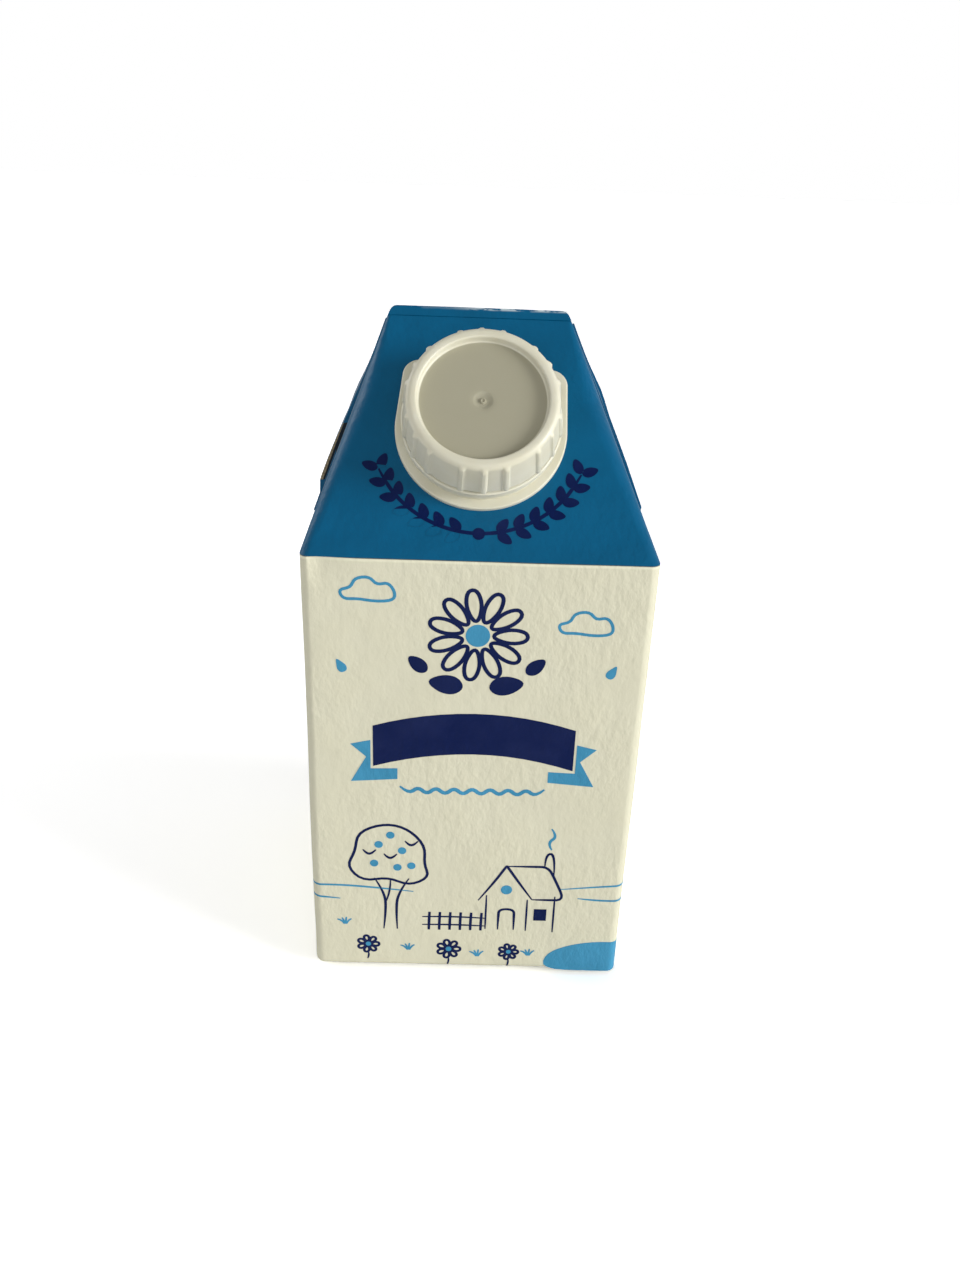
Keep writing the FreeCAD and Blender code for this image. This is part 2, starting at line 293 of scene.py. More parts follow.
def principled(name, colour, roughness, specular=0.4):
    """A material with its shader, its object coordinates, and the shader's plain values set."""
    material = bpy.data.materials.new(name)
    material.use_nodes = True
    tree = material.node_tree
    shader = tree.nodes["Principled BSDF"]
    preset(shader, {"Base Color": (*colour, 1), "Roughness": roughness, "Specular IOR Level": specular})
    coordinates = add_node(tree, "ShaderNodeTexCoord")
    return material, tree, shader, coordinates.outputs["Object"]


def relief_bump(tree, shader, vector, wrinkles, puckers, depth):
    """Puts the board relief under a shader's finish and returns the relief's mottle."""
    relief = add_node(tree, "ShaderNodeGroup")
    relief.node_tree = bpy.data.node_groups["Board relief"]
    tree.links.new(vector, relief.inputs["Vector"])
    preset(relief, {"Wrinkles": wrinkles, "Puckers": puckers})
    put_bump(tree, shader, relief.outputs["Height"], depth)
    return relief.outputs["Mottle"]


def cream_board_material(settings):
    """Cream laminated board: painted shade in a thin dark line under the shoulder, and below it a pale band,
    partly unprinted board and partly painted highlight.
    """
    material, tree, shader, vector = principled("cream_board", settings.cream, 0.42)
    mottle = relief_bump(tree, shader, vector, 1.0, 1.6, settings.wrinkle)
    tint = ramp(tree, mottle, 0.3, 0.7, 0.0, 0.14)
    warm = [c * f for c, f in zip(settings.cream, (0.97, 0.95, 0.86))]
    colour = mix_colour(tree, tint, (*settings.cream, 1), (*warm, 1))
    below = maths(tree, "SUBTRACT", SHOULDER, split(tree, vector)["Z"])
    # A pale band below the shoulder: partly unprinted board, partly a painted highlight on the fold.
    upper, lower = ramp(tree, below, 0.15 * MM, 0.4 * MM), ramp(tree, below, 0.9 * MM, 0.55 * MM)
    unprinted_and_highlight_band = maths(tree, "MULTIPLY", upper, lower)
    pale = [min(1, c * 1.14) for c in settings.cream]
    colour = mix_colour(tree, unprinted_and_highlight_band, colour, (*pale, 1))
    # Painted shade: a thin dark line just under the shoulder stands in for the shadow in its crease.
    colour = mix_colour(tree, ramp(tree, below, 0.22 * MM, 0.12 * MM), colour, (*paint(60, 78, 84), 1))
    tree.links.new(colour, shader.inputs["Base Color"])
    return material


def blue_board_material(settings):
    """Blue printed board, rubbed to white specks along the ridge, most towards the pack's right."""
    material, tree, shader, vector = principled("blue_board", settings.blue, 0.36, 0.2)
    mottle = relief_bump(tree, shader, vector, 0.7, 2.0, settings.wrinkle)
    place = split(tree, vector)
    specks = cloud(tree, vector, 900, 4.0, stretch=(0.35, 1, 1))
    worn = ramp(tree, place["Z"], CARTON_HIGH.z - SCUFF_REACH, CARTON_HIGH.z - SCUFF_FULL)
    worn = maths(tree, "MULTIPLY", worn, ramp(tree, place["X"], -9 * MM, 2 * MM, 0.15, 1.0))
    scuff = maths(tree, "MULTIPLY", worn, ramp(tree, specks, 0.44, 0.54))
    deep = [c * 0.82 for c in settings.blue]
    colour = mix_colour(tree, ramp(tree, mottle, 0.3, 0.7, 0.0, 0.5), (*settings.blue, 1), (*deep, 1))
    colour = mix_colour(tree, scuff, colour, (*paint(190, 205, 210), 1))
    tree.links.new(colour, shader.inputs["Base Color"])
    return material


def raw_edge_and_gap_shadow_material(settings):
    """Cut board: fibres in its top layer, and painted shadow for the gap under that."""
    material, tree, shader, vector = principled("raw_board_edge_and_gap_shadow", settings.raw_edge, 0.8)
    fibres = cloud(tree, vector, 2200, 3.0)
    dark = [c * 0.55 for c in settings.raw_edge]
    colour = mix_colour(tree, ramp(tree, fibres, 0.35, 0.65), (*dark, 1), (*settings.raw_edge, 1))
    layers = add_node(tree, "ShaderNodeAttribute", attribute_name="edge_height")
    # Painted shadow: below the cut edge's top layer the colour turns near-black for the gap under the ear.
    colour = mix_colour(tree, ramp(tree, layers.outputs["Fac"], 0.95, 1.08), (*paint(8, 26, 38), 1), colour)
    tree.links.new(colour, shader.inputs["Base Color"])
    return material


def ink_material(name, colour, board_settings):
    """Printing ink that shares the relief of the board under it."""
    material, tree, shader, vector = principled(name, colour, 0.4, 0.15)
    mottle = relief_bump(tree, shader, vector, 1.0, 1.6, board_settings.wrinkle)
    light = [min(1, c * 1.25 + 0.01) for c in colour]
    shade = mix_colour(tree, ramp(tree, mottle, 0.35, 0.7, 0.0, 0.5), (*colour, 1), (*light, 1))
    tree.links.new(shade, shader.inputs["Base Color"])
    return material


def plastic_material(settings):
    """Milky moulded plastic, its thin sunk floor greyed by painted shade."""
    material, tree, shader, vector = principled("closure_plastic", settings.plastic, 0.36)
    flow = cloud(tree, vector, 160, 2.0)
    satin = cloud(tree, vector, 5200, 2.0)
    dull = [c * f for c, f in zip(settings.plastic, (0.95, 0.94, 0.9))]
    colour = mix_colour(tree, ramp(tree, flow, 0.3, 0.7), (*settings.plastic, 1), (*dull, 1))
    thin = add_node(tree, "ShaderNodeAttribute", attribute_name="thin")
    # Painted shade greys the cap's sunk floor.
    colour = mix_colour(tree, thin.outputs["Fac"], colour, (*settings.sunk_floor_shade, 1))
    tree.links.new(colour, shader.inputs["Base Color"])
    tree.links.new(ramp(tree, flow, 0.3, 0.7, 0.3, 0.42), shader.inputs["Roughness"])
    put_bump(tree, shader, satin, 0.012 * MM)
    preset(shader, {"Subsurface Weight": 0.12, "Subsurface Scale": 1.2 * MM})
    preset(shader, {"Subsurface Radius": (1.0, 0.9, 0.7)})
    return material


# ---- shapes shared by the pieces

def smooth_step(low, high, value):
    """0 up to the low level, 1 from the high one, and smooth between; the levels may be swapped."""
    share = min(max((value - low) / (high - low), 0), 1)
    return share * share * (3 - 2 * share)


def wave(place, height):
    """Soft waves of the filled board, calm under the closure and along the base."""
    slow = noise.noise(place * 42 + Vector((3.1, 7.7, 1.9)))
    quick = noise.noise(place * 90 + Vector((8.3, 2.2, 5.6)))
    from_closure = (place - CLOSURE_FOOT).length
    calm = smooth_step(16 * MM, 30 * MM, from_closure) * smooth_step(1 * MM, 12 * MM, place.z)
    return height * calm * (slow + 0.4 * quick)


def cut_plane(bm, axis, place, near):
    """Cuts everything in a bmesh where an axis has a given value."""
    normal = Vector((0, 0, 0))
    normal[axis] = 1
    everything = bm.verts[:] + bm.edges[:] + bm.faces[:]
    bmesh.ops.bisect_plane(bm, geom=everything, dist=near, plane_co=normal * place, plane_no=normal)


def finish_piece(name, bm, materials, sharp_angle, replaced=None):
    """Makes a finished piece of a bmesh: smooth but for its sharp folds, riding on the pack."""
    for face in bm.faces:
        face.smooth = True
    for edge in bm.edges:
        edge.smooth = len(edge.link_faces) == 2 and edge.calc_face_angle(0) < sharp_angle
    mesh = bpy.data.meshes.new(name)
    bm.to_mesh(mesh)
    bm.free()
    piece = bpy.data.objects.new(name, mesh)
    bpy.context.scene.collection.objects.link(piece)
    for material in materials:
        mesh.materials.append(material)
    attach(piece, "root")
    if replaced:
        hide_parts(replaced)
    return piece


# ---- carton board

def cut_grid(bm, spacing):
    """Cuts every panel along evenly spaced planes, and closer beside its folds, corners and ridge."""
    low, high = CARTON_LOW, CARTON_HIGH
    planes = []
    for axis in range(3):
        count = int((high[axis] - low[axis]) / spacing)
        planes += [(axis, low[axis] + spacing * (step + 0.5)) for step in range(count)]
    planes += [(2, SHOULDER + offset * MM) for offset in (-1.2, -0.5, 0, 0.5, 1.2)]
    planes += [(2, CARTON_HIGH.z - offset * MM) for offset in (0.08, 0.22, 0.42, 0.68, 0.98, 1.3)]
    for offset in (0.5, 1.1, 1.8):
        reach = WIDTH / 2 - offset * MM
        planes += [(0, MIDDLE_X - reach), (0, MIDDLE_X + reach), (1, MIDDLE_Y - reach), (1, MIDDLE_Y + reach)]
    for axis, place in planes:
        cut_plane(bm, axis, place, 1e-6)


def hip_frame(side):
    """Foot, head and outward direction of a hip's middle line, for side -1 or 1."""
    foot = Vector((MIDDLE_X + side * WIDTH / 2, MIDDLE_Y, SHOULDER))
    head = Vector((MIDDLE_X + RIDGE_SHIFT + side * RIDGE_HALF, MIDDLE_Y, RIDGE_HEIGHT))
    along = (head - foot).normalized()
    return foot, head, Vector((side * along.z, 0, -side * along.x))


def hip_height(place, side):
    """How far a place stands out from a side's hip plane, or from its wall below the shoulder."""
    foot, head, out = hip_frame(side)
    if place.z < SHOULDER:
        return side * (place.x - foot.x)
    return (place - foot).dot(out)


def is_ear(place, side):
    """Whether a place stands out enough from a side's hip or wall to be on its ear."""
    return side * (place.x - MIDDLE_X) > 0 and hip_height(place, side) > 0.2 * MM


def is_cut_edge(place, normal, side, lie):
    """On the ear seam's cut edge: it faces the way the seam lies, at the seam's own width."""
    foot, head, out = hip_frame(side)
    share = min(max((place.z - foot.z) / (head.z - foot.z), 0), 1)
    width = min(EAR_SEAM_WIDTH, EAR_SEAM_SHARE * WIDTH / 2 * (1 - share))
    from_cut = abs(lie * (place.y - MIDDLE_Y) - width)
    return normal.y * lie > 0.7 and from_cut < 0.5 * MM


def is_lap_edge(place, normal):
    """On the step of the lengthwise lap, or on the end of the ridge seam's flap."""
    if place.y > MIDDLE_Y + RIDGE_THICKNESS and normal.x < -0.7:
        return abs(place.x - MIDDLE_X - LAP_START) < 0.3 * MM
    down_rear = Vector((0, math.cos(ROOF_ANGLE), -math.sin(ROOF_ANGLE)))
    flap = (place - Vector((0, MIDDLE_Y + RIDGE_THICKNESS / 2, RIDGE_HEIGHT))).dot(down_rear)
    return normal.dot(down_rear) > 0.8 and abs(flap - SEAM_FLAP) < 0.4 * MM


def face_material(face):
    """0 cream, 1 blue, 2 raw board edge with its painted gap shadow."""
    place = face.calc_center_median()
    for side, lie in ((-1, -1), (1, 1)):
        if is_ear(place, side):
            bare = BARE_CUT[0] < hip_share(place) < BARE_CUT[1] and side < 0
            return 2 if bare and is_cut_edge(place, face.normal, side, lie) else 1
    if is_lap_edge(place, face.normal):
        return 2
    return 1 if place.z > SHOULDER else 0


def hip_share(place):
    """How far up a hip a place is, from 0 at the shoulder to 1 at the ridge."""
    return min(max((place.z - SHOULDER) / (RIDGE_HEIGHT - SHOULDER), 0), 1)


def edge_height(place):
    """Height in millimetres above the hip or wall under an ear; elsewhere 2 behind and 0 in front."""
    for side in (-1, 1):
        if is_ear(place, side):
            return hip_height(place, side) / MM
    return 2.0 if place.y > MIDDLE_Y else 0.0


def pressed_ear(place):
    """Shift that presses an ear flatter on its hip, most towards the ridge and least where it gapes."""
    share = hip_share(place)
    gape = smooth_step(BARE_CUT[0] - 0.05, BARE_CUT[0], share) * smooth_step(0.85, 0.35, share)
    near_ridge = 1 - RIDGE_PRESS * smooth_step(0.6, 0.85, share)
    for side, kept in ((-1, LEFT_KEPT + GAPE_KEPT * gape), (1, RIGHT_KEPT)):
        height = hip_height(place, side)
        if side * (place.x - MIDDLE_X) > 0 and height > 0.02 * MM:
            foot, head, out = hip_frame(side)
            out = out if place.z > SHOULDER else Vector((side, 0, 0))
            return out * (-height * (1 - kept * near_ridge))
    return Vector((0, 0, 0))


def rounded_ridge_end(place):
    """Sideways shift that rounds the two top corners of the ridge seam's strip."""
    rise = (place.z - CARTON_HIGH.z) / math.sin(ROOF_ANGLE) + RIDGE_CORNER
    if rise <= 0 or place.z < RIDGE_HEIGHT:
        return Vector((0, 0, 0))
    middle = MIDDLE_X + RIDGE_SHIFT
    reach = RIDGE_HALF - RIDGE_CORNER + math.sqrt(RIDGE_CORNER ** 2 - min(rise, RIDGE_CORNER) ** 2)
    out = place.x - middle
    return Vector((max(min(out, reach), -reach) - out, 0, 0))


def pressed_dent(place):
    """Shift that deepens the dent beside the front panel's upper left corner."""
    across = place.x - MIDDLE_X + WIDTH / 2
    down = SHOULDER - place.z
    if place.y > FRONT_Y + 1 * MM or not 0 <= down < DENT_DROP or not DENT_FROM < across < DENT_END:
        return Vector((0, 0, 0))
    far_side = DENT_FROM if across < DENT_LINE else DENT_END
    slope = (across - far_side) / (DENT_LINE - far_side)
    return Vector((0, DENT_DEPTH * slope * (1 - down / DENT_DROP), 0))


def kept_in_box(place):
    """A place, moved on to the frame's box where it lies outside it."""
    return Vector([min(max(place[axis], CAD_BOX[0][axis]), CAD_BOX[1][axis]) for axis in range(3)])


def make_board(settings):
    """The folded board: the frame's own shape, cut finely and given its waves, ears, corners and dent."""
    bm = bmesh.new()
    bm.from_mesh(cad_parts["carton"].data)
    bmesh.ops.remove_doubles(bm, verts=bm.verts, dist=0.001 * MM)
    bmesh.ops.dissolve_limit(bm, angle_limit=math.radians(0.3), verts=bm.verts, edges=bm.edges)
    cut_grid(bm, settings.grid)
    layers = bm.verts.layers.float.new("edge_height")
    bm.normal_update()
    for face in bm.faces:
        face.material_index = face_material(face)
    shifts = [(vertex, vertex.normal * wave(vertex.co, settings.pucker)) for vertex in bm.verts]
    for vertex, shift in shifts:
        vertex[layers] = edge_height(vertex.co)
        place = vertex.co.copy()
        shift += pressed_ear(place) + rounded_ridge_end(place) + pressed_dent(place)
        vertex.co = kept_in_box(place + shift)
    bmesh.ops.remove_doubles(bm, verts=bm.verts, dist=0.001 * MM)
    materials = [cream_board_material(settings), blue_board_material(settings), raw_edge_and_gap_shadow_material(settings)]
    return finish_piece("carton_board", bm, materials, math.radians(28), "carton")


# ---- closure

CAP_TOP = 13.8 * MM
CAP_FLOOR = 12.3 * MM
SKIRT_BOTTOM = 5.1 * MM
LOWER_RADIUS = 14.95 * MM
UPPER_RADIUS = 14.15 * MM
RIM_INNER = 12.05 * MM
FLOOR_RADIUS = 11.45 * MM
BORE = 13.2 * MM
NECK_TOP = 11.0 * MM
RING_BOTTOM = 3.1 * MM
RING_TOP = 4.75 * MM
RING_RADIUS = 15.3 * MM
RING_INNER = 14.0 * MM
RIB_GROUPS = 6
RIB_PITCH = 16.4  # degrees between the three ribs of a group
RIB_FLAT, RIB_FOOT = 1.1, 2.9  # degrees from a rib's middle to the end of its top and of its foot
RIB_FADE, RIB_END = 1.2 * MM, 0.45 * MM  # down from the cap's top, where a rib sinks and is gone
CAP_TURN = 5.2  # degrees that the cap is screwed on past the flange's middle
BRIDGES = 12
BRIDGE_SIZE = Vector((0.9, 0.65, 1.05)) * MM
BRIDGE_RADIUS = 14.35 * MM
HEAD_FULL = 11.2 * MM  # up from the closure's middle: from here the flange's head has its full cut
HEAD_START = 0.7 * HEAD_FULL
HEAD_MIDDLE = 1.2 * MM  # half the width of the middle strip, which keeps its width
HEAD_CUT = 1.2 * MM  # the head is this much shorter than the frame's
HEAD_NARROWING = 0.5 * MM  # and this much narrower at each side
FULL_TURN = math.radians(360)


# Radius and depth in millimetres across the sunk floor, with the gate's dimple at its middle
FLOOR_STEPS = (
    (10.9, 0), (8, 0), (5, 0), (2.8, 0), (1.95, 0), (1.7, 0.06), (1.3, 0.3), (0.62, 0.32), (0.5, 0.05),
    (0.34, 0), (0.22, 0.16), (0, 0.18),
)


def arc_points(centre, radius, start, end, steps):
    """Points on an arc, from the start angle to the end angle in degrees, in the profile's plane."""
    angles = [math.radians(start + (end - start) * step / steps) for step in range(steps + 1)]
    return [(centre[0] + radius * math.cos(a), centre[1] + radius * math.sin(a)) for a in angles]


def spin_profile(bm, profile, steps, closed):
    """Spins an (outward, upward) profile about the closure's axis and returns the new vertices."""
    before = set(bm.verts)
    line = [bm.verts.new((radius, 0, height)) for radius, height in profile]
    edges = [bm.edges.new(pair) for pair in zip(line, line[1:])]
    if closed:
        edges.append(bm.edges.new((line[-1], line[0])))
    bmesh.ops.spin(bm, geom=line + edges, cent=(0, 0, 0), axis=(0, 0, 1), dvec=(0, 0, 0),
                   angle=FULL_TURN, steps=steps, use_merge=True, use_duplicate=False)
    bmesh.ops.remove_doubles(bm, verts=bm.verts, dist=0.002 * MM)
    return [vertex for vertex in bm.verts if vertex not in before]


def rib_share(angle, height):
    """How much of a rib's full height stands at an angle and height on the skirt."""
    group = 360 / RIB_GROUPS
    from_group = (math.degrees(angle) + 90 - CAP_TURN + group / 2) % group - group / 2
    nearest = min(abs(from_group - centre) for centre in (-RIB_PITCH, 0, RIB_PITCH))
    across = 1 - smooth_step(RIB_FLAT, RIB_FOOT, nearest)
    up = 1 - smooth_step(CAP_TOP - RIB_FADE, CAP_TOP - RIB_END, height)
    return across * up


def cap_profile():
    """Half section of the cap, from under its top round the skirt and rim to the sunk floor."""
    bevel = 0.25 * MM
    skirt_steps = 9
    outer = 1.2 * MM
    inner = 0.4 * MM
    rows = [(BORE, NECK_TOP), (BORE, SKIRT_BOTTOM + bevel), (BORE + bevel, SKIRT_BOTTOM)]
    rows += [(LOWER_RADIUS - bevel, SKIRT_BOTTOM), (LOWER_RADIUS, SKIRT_BOTTOM + bevel)]
    for step in range(1, skirt_steps + 1):
        share = step / skirt_steps
        height = SKIRT_BOTTOM + bevel + (CAP_TOP - outer - SKIRT_BOTTOM - bevel) * share
        rows.append((LOWER_RADIUS + (UPPER_RADIUS - LOWER_RADIUS) * share, height))
    rows += arc_points((UPPER_RADIUS - outer, CAP_TOP - outer), outer, 0, 90, 6)[1:]
    rows += arc_points((RIM_INNER + inner, CAP_TOP - inner), inner, 90, 170, 4)
    rows += arc_points((FLOOR_RADIUS + inner - 0.25 * MM, CAP_FLOOR + inner), inner, -10, -90, 3)
    return rows + [(radius * MM, CAP_FLOOR - depth * MM) for radius, depth in FLOOR_STEPS]


def make_bridge(bm, angle):
    """A small web between the skirt and the tamper ring."""
    turn = Matrix.Rotation(angle, 4, "Z")
    size = Matrix.Diagonal((*BRIDGE_SIZE, 1))
    place = Matrix.Translation((0, -BRIDGE_RADIUS, (RING_TOP + SKIRT_BOTTOM) / 2))
    bmesh.ops.create_cube(bm, size=1, matrix=turn @ place @ size)


def make_cap(settings, material):
    """The screw cap with its ribs, its tamper ring and the bridges between them."""
    bm = bmesh.new()
    thin = bm.verts.layers.float.new("thin")
    shell = spin_profile(bm, cap_profile(), 360, False)
    for vertex in shell:
        radius = math.hypot(vertex.co.x, vertex.co.y)
        # Marks the sunk floor, which the plastic's material greys with painted shade.
        vertex[thin] = radius < FLOOR_RADIUS + 0.3 * MM and vertex.co.z < CAP_FLOOR + 0.15 * MM
        outside = radius > LOWER_RADIUS - 1.3 * MM
        if outside and SKIRT_BOTTOM < vertex.co.z < CAP_TOP - 0.2 * MM:
            share = rib_share(math.atan2(vertex.co.y, vertex.co.x), vertex.co.z)
            vertex.co.xy *= 1 + settings.rib_height * share / radius
    bevel = 0.22 * MM
    ring = [(RING_INNER, RING_BOTTOM), (RING_RADIUS - bevel, RING_BOTTOM), (RING_RADIUS, RING_BOTTOM + bevel)]
    ring += [(RING_RADIUS, RING_TOP - bevel), (RING_RADIUS - bevel, RING_TOP), (RING_INNER, RING_TOP)]
    spin_profile(bm, ring, 180, True)
    rim = [edge for edge in bm.edges if edge.is_boundary]
    bmesh.ops.contextual_create(bm, geom=rim)
    for step in range(BRIDGES):
        make_bridge(bm, (step + 0.5) * FULL_TURN / BRIDGES)
    bmesh.ops.recalc_face_normals(bm, faces=bm.faces)
    bm.transform(CLOSURE)
    return finish_piece("screw_cap_moulding", bm, [material], math.radians(38), "screw_cap")


def make_spout(material):
    """The glued flange, its straight head a little shorter and narrower than its round half."""
    bm = bmesh.new()
    bm.from_mesh(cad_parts["pour_spout"].data)
    bmesh.ops.remove_doubles(bm, verts=bm.verts, dist=0.001 * MM)
    bm.transform(CLOSURE.inverted())
    for vertex in bm.verts:
        head = smooth_step(HEAD_START, HEAD_FULL, vertex.co.y)
        beside_middle = abs(vertex.co.x) > HEAD_MIDDLE
        vertex.co.y -= HEAD_CUT * head
        vertex.co.x -= math.copysign(HEAD_NARROWING, vertex.co.x) * head * beside_middle
    bmesh.ops.recalc_face_normals(bm, faces=bm.faces)
    bm.transform(CLOSURE)
    name = "pour_spout_moulding"
    return finish_piece(name, bm, [material], math.radians(38), "pour_spout")


# ---- print

class InkSheet:
    """Flat artwork in one ink: strokes and filled shapes, drawn in the plane of an unrolled panel."""

    def __init__(self, name, pen):
        self.pen = pen
        self.strokes = self.new_curve(name + "_strokes", "3D")
        self.strokes.bevel_depth = 0.5  # half a metre: a point's radius is then the line's width
        self.strokes.bevel_resolution = 1
        self.strokes.use_fill_caps = True
        self.fills = self.new_curve(name + "_fills", "2D")
        self.fills.fill_mode = "BOTH"
        self.fills.extrude = INK_HALF

    @staticmethod
    def new_curve(name, dimensions):
        curve = bpy.data.curves.new(name, "CURVE")
        curve.dimensions = dimensions
        curve.resolution_u = 4
        return curve

    def line(self, points, width=None, closed=False, taper=0.45):
        """A pen line through points, thinner at its two ends."""
        width = (width or self.pen) * MM
        spline = self.strokes.splines.new("NURBS")
        spline.points.add(len(points) - 1)
        for place, (across, up) in enumerate(points):
            end = not closed and place in (0, len(points) - 1)
            spline.points[place].co = (across * MM, up * MM, 0, 1)
            spline.points[place].radius = width * (taper if end else 1)
        spline.order_u = 3
        spline.use_endpoint_u = not closed
        spline.use_cyclic_u = closed

    def shape(self, points, smooth=True):
        """A filled shape inside a closed outline."""
        spline = self.fills.splines.new("NURBS" if smooth else "POLY")
        spline.points.add(len(points) - 1)
        for place, (across, up) in enumerate(points):
            spline.points[place].co = (across * MM, up * MM, 0, 1)
        if smooth:
            spline.order_u = 3
        spline.use_cyclic_u = True

    def meshes(self):
        """Meshes of the strokes, flattened to a film, and of the fills."""
        made = []
        for curve, flatten in ((self.strokes, 0.05), (self.fills, 1.0)):
            if not curve.splines:
                bpy.data.curves.remove(curve)
                continue
            holder = bpy.data.objects.new(curve.name, curve)
            mesh = bpy.data.meshes.new_from_object(holder)
            bpy.data.objects.remove(holder)
            for vertex in mesh.vertices:
                vertex.co.z = max(min(vertex.co.z * flatten, INK_HALF), -INK_HALF)
            made.append(mesh)
        return made


SIDE_FLAT = WIDTH / 2 - EDGE_RADIUS
SIDE_STEP = 2 * SIDE_FLAT + EDGE_RADIUS * math.pi / 2  # round the walls, from panel to panel


def on_walls(around, up):
    """Place and outward direction at a distance round the body from the middle of its front."""
    side, along = divmod(around + SIDE_FLAT, SIDE_STEP)
    turn = Matrix.Rotation(side * math.pi / 2, 3, "Z")
    if along <= 2 * SIDE_FLAT:
        place, out = Vector((along - SIDE_FLAT, -WIDTH / 2, 0)), Vector((0, -1, 0))
    else:
        angle = (along - 2 * SIDE_FLAT) / EDGE_RADIUS
        out = Vector((math.sin(angle), -math.cos(angle), 0))
        place = Vector((SIDE_FLAT, -SIDE_FLAT, 0)) + out * EDGE_RADIUS
    return turn @ place + Vector((MIDDLE_X, MIDDLE_Y, up)), turn @ out


def on_front_roof(around, up):
    """Place and outward direction on the front roof panel, measured up from the shoulder."""
    return Vector((MIDDLE_X + around, FRONT_Y, SHOULDER)) + UP_ROOF * up, OUT_ROOF


def corner_cuts():
    """Distances round the body at which ink is cut to follow the rounded corners."""
    arc = EDGE_RADIUS * math.pi / 2
    corners = [SIDE_FLAT + corner * SIDE_STEP for corner in range(-2, 4)]
    return [start + arc * cut / 8 for start in corners for cut in range(9)]


def lay_ink(bm, mesh, panel, height, lift):
    """Adds a flat mesh to a bmesh, cut fine enough to follow the waves, and lays it on a panel."""
    flat = bmesh.new()
    flat.from_mesh(mesh)
    bmesh.ops.remove_doubles(flat, verts=flat.verts, dist=0.001 * MM)
    for axis in (0, 1):
        reach = [vertex.co[axis] for vertex in flat.verts]
        low, high = min(reach), max(reach)
        step = 2.5 * MM
        places = [low + step * count for count in range(1, int((high - low) / step) + 1)]
        if axis == 0 and panel is on_walls:
            places += [place for place in corner_cuts() if low < place < high]
        for place in places:
            cut_plane(flat, axis, place, 1e-7)
    for vertex in flat.verts:
        place, out = panel(vertex.co.x, vertex.co.y)
        vertex.co = place + out * (vertex.co.z + wave(place, height) + lift)
    laid = bpy.data.meshes.new("laid_ink")
    flat.to_mesh(laid)
    flat.free()
    bm.from_mesh(laid)
    bpy.data.meshes.remove(laid)
    bpy.data.meshes.remove(mesh)


def circle(centre, radius, count=10):
    """Outline points of a circle."""
    turns = [FULL_TURN * step / count for step in range(count)]
    return [(centre[0] + radius * math.cos(a), centre[1] + radius * math.sin(a)) for a in turns]


def moved(points, centre, size=1.0, turn=0.0):
    """Points scaled, turned and moved to a centre."""
    c, s = math.cos(turn) * size, math.sin(turn) * size
    return [(centre[0] + x * c - y * s, centre[1] + x * s + y * c) for x, y in points]


LEAF = [(0, 0), (0.25, 0.3), (0.7, 0.3), (1.15, 0), (0.7, -0.3), (0.25, -0.3)]
DROP = [(0, 1.3), (0.35, 0.55), (0.62, -0.1), (0.4, -0.72), (-0.4, -0.72), (-0.62, -0.1), (-0.35, 0.55)]


def leaf(sheet, root, size, degrees):
    """A filled leaf that grows from a root in a direction."""
    sheet.shape(moved(LEAF, root, size, math.radians(degrees)))


def daisy(sheet, heart, centre, size, petals=9, width=None):
    """A daisy: outlined petals round a solid heart."""
    spread = 2.3 / petals
    petal = [(0.34, -0.3), (0.7, -0.85), (1.05, -0.5), (1.05, 0.5), (0.7, 0.85), (0.34, 0.3)]
    petal = [(x, y * spread) for x, y in petal]
    for step in range(petals):
        sheet.line(moved(petal, centre, size, FULL_TURN * step / petals), width, closed=True)
    heart.shape(circle(centre, 0.27 * size))


def tuft(sheet, centre, size):
    """A tuft of grass: short blades that spread from one root."""
    for lean in (-0.8, -0.35, 0.1, 0.6):
        tip = (lean * 1.2, 1.1 - abs(lean) * 0.5)
        sheet.line(moved([(lean * 0.2, 0), (lean * 0.5, 0.6), tip], centre, size))


def cloud_line(sheet, centre, size):
    """A cloud drawn with one line."""
    bumps = [(-2.2, 0), (-2.6, 0.9), (-1.5, 1.1), (-1.2, 2.0), (0.1, 2.2), (0.7, 1.4), (1.7, 1.7)]
    bumps += [(2.3, 0.8), (2.2, 0.0), (0.6, -0.15), (-1.0, 0.1)]
    sheet.line(moved(bumps, centre, size), closed=True)


def banner(navy, sky, centre, half, rise):
    """A blank ribbon banner, bowed upwards, with folded tails behind it."""
    thick = 9.6
    steps = 12
    across = [half * (2 * step / steps - 1) for step in range(steps + 1)]
    top = [(centre[0] + a, centre[1] + rise * (1 - (a / half) ** 2) + thick / 2) for a in across]
    low = [(x, y - thick) for x, y in reversed(top)]
    navy.shape(top + low, smooth=False)
    for side in (-1, 1):
        fold_x = centre[0] + side * (half - 5.0)
        tail = [(fold_x, -thick / 2 - 0.4), (fold_x, -thick / 2 - 3.0)]
        end = centre[0] + side * (half + 4.6)
        beside = centre[0] + side * (half + 0.5)
        tail += [(end, -thick / 2 - 3.8), (end - side * 3.2, -2.6), (end, thick / 2 - 4.4)]
        tail += [(beside, thick / 2 - 3.4), (beside, -thick / 2 - 0.6)]
        sky.shape([(x, centre[1] + y) for x, y in tail], smooth=False)


def pond(sky, middle):
    """A pond that lies round the foot of a corner."""
    shore = [(-10.5, 1.2), (-9.5, 6.0), (-4.0, 8.6), (2.5, 9.6), (8.5, 9.2), (12.5, 6.2), (13.0, 1.2)]
    sky.shape([(middle + x, y) for x, y in shore + [(1.0, 0.9)]])


